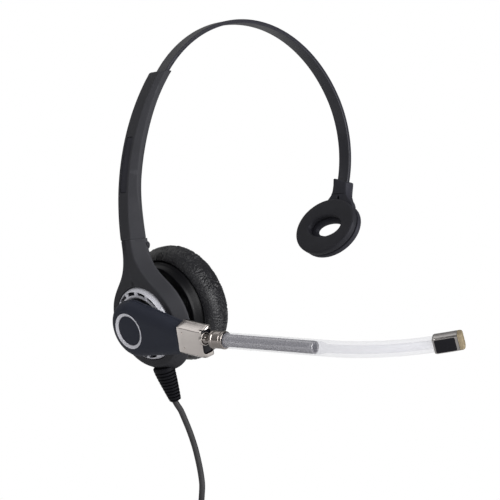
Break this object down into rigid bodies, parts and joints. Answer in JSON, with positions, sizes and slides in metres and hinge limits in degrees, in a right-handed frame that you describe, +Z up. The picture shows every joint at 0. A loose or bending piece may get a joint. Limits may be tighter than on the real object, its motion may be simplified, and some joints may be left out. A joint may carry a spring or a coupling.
{
  "type": "monaural office headset",
  "caption": "Monaural office headset: spring headband, slider arm, padded ear cup, temple rest, swinging voice-tube microphone and a coiled quick-disconnect cord.",
  "frame": {"origin": "middle of the wearer's head, between the ear cup and the temple rest, where the head holds the headset up", "axes": "+X from the ear cup to the temple rest, +Z up through the crown of the headband, and the wearer faces -Y"},
  "size_m": [0.1462, 0.1966, 0.3222],
  "materials": {
    "soft_black": "fine satin moulded plastic",
    "boom_black": "satin blue-black moulded plastic",
    "band_black": "black coated spring steel",
    "nylon": "moulded nylon",
    "satin_silver": "satin silver",
    "nickel": "warm satin nickel",
    "brushed": "brushed along the tube",
    "steel": "plain steel",
    "clear": "clear moulded plastic",
    "leatherette": "soft wrinkled leatherette",
    "foam": "open foam or woven strap",
    "rubber": "soft matte rubber",
    "board": "circuit board",
    "brass": "plain brass",
    "beige": "woven screen",
    "film": "thin polyester film"
  },
  "bodies": {
    "yoke": {"arm_outer_shell": "soft_black", "arm_inner_shell": "soft_black", "arm_inlay_plate": "nylon", "detent_spring": "steel", "arm_screw": "steel", "yoke_outer_shell": "soft_black", "yoke_inner_shell": "soft_black", "yoke_screw_1": "steel", "yoke_screw_2": "steel", "yoke_screw_3": "steel", "slotted_trim_ring": "satin_silver", "boom_bush": "nylon", "terminal_board": "board", "cable_hole_plug": "rubber", "gimbal_pin_front": "steel", "gimbal_pin_rear": "steel", "strain_relief": "rubber", "cord_drop": "rubber", "cord_coil": "rubber", "coil_tie": "foam", "cord_tail": "rubber", "plug_boot": "rubber", "plug_body": "nylon", "plug_latch": "soft_black", "plug_insert": "nylon", "plug_contacts": "brass"},
    "band": {"band_strip": "band_black", "stop_rivet": "steel", "tail_pin": "steel", "temple_frame": "nylon", "temple_pad": "rubber"},
    "boom": {"boom_arm": "boom_black", "boom_back_cover": "boom_black", "inlay_ring": "satin_silver", "boom_cap": "boom_black", "boom_hub": "nylon", "hub_clip": "steel", "friction_washer": "steel", "mic_block": "nickel", "block_end_cap": "nylon", "socket_rim": "nickel", "mic_boot": "rubber", "mic_capsule": "steel"},
    "knuckle": {"tube_knuckle": "nickel"},
    "voice_tube": {"tube_sleeve": "brushed", "tube_o_ring": "rubber", "clear_tube": "clear", "tube_tip": "boom_black", "tip_screen": "beige"},
    "gimbal": {"gimbal_ring": "steel"},
    "ear_capsule": {"capsule_back": "soft_black", "speaker_baffle": "nylon", "speaker_frame": "steel", "speaker_magnet": "steel", "speaker_diaphragm": "film", "ear_cushion": "leatherette", "foam_disc": "foam", "gimbal_pin_top": "steel", "gimbal_pin_bottom": "steel"}
  },
  "joints": [
    {"name": "band_slide", "type": "hinge", "parent": "yoke", "child": "band", "pos_m": [0.0304, 0, 0.019], "axis": [0, 1, 0], "range_deg": [0, 10.9]},
    {"name": "boom_swing", "type": "hinge", "parent": "yoke", "child": "boom", "pos_m": [-0.0649, 0, -0.0366], "axis": [-0.9367, 0, -0.3502], "range_deg": [-50, 230]},
    {"name": "tube_knuckle_swing", "type": "hinge", "parent": "boom", "child": "knuckle", "pos_m": [-0.07058, -0.04682, -0.04424], "axis": [-0.3481, -0.1097, 0.931], "range_deg": [-23, 7]},
    {"name": "tube_turn", "type": "hinge", "parent": "knuckle", "child": "voice_tube", "pos_m": [-0.07058, -0.04682, -0.04424], "axis": [0.1775, -0.9811, -0.0774], "continuous": true},
    {"name": "cup_tilt", "type": "hinge", "parent": "yoke", "child": "gimbal", "pos_m": [-0.05535, 0, -0.03303], "axis": [0, -1, 0], "range_deg": [-5, 5]},
    {"name": "cup_swivel", "type": "hinge", "parent": "gimbal", "child": "ear_capsule", "pos_m": [-0.05535, 0, -0.03303], "axis": [-0.3502, 0, 0.9367], "range_deg": [-4.5, 4.5]}
  ]
}
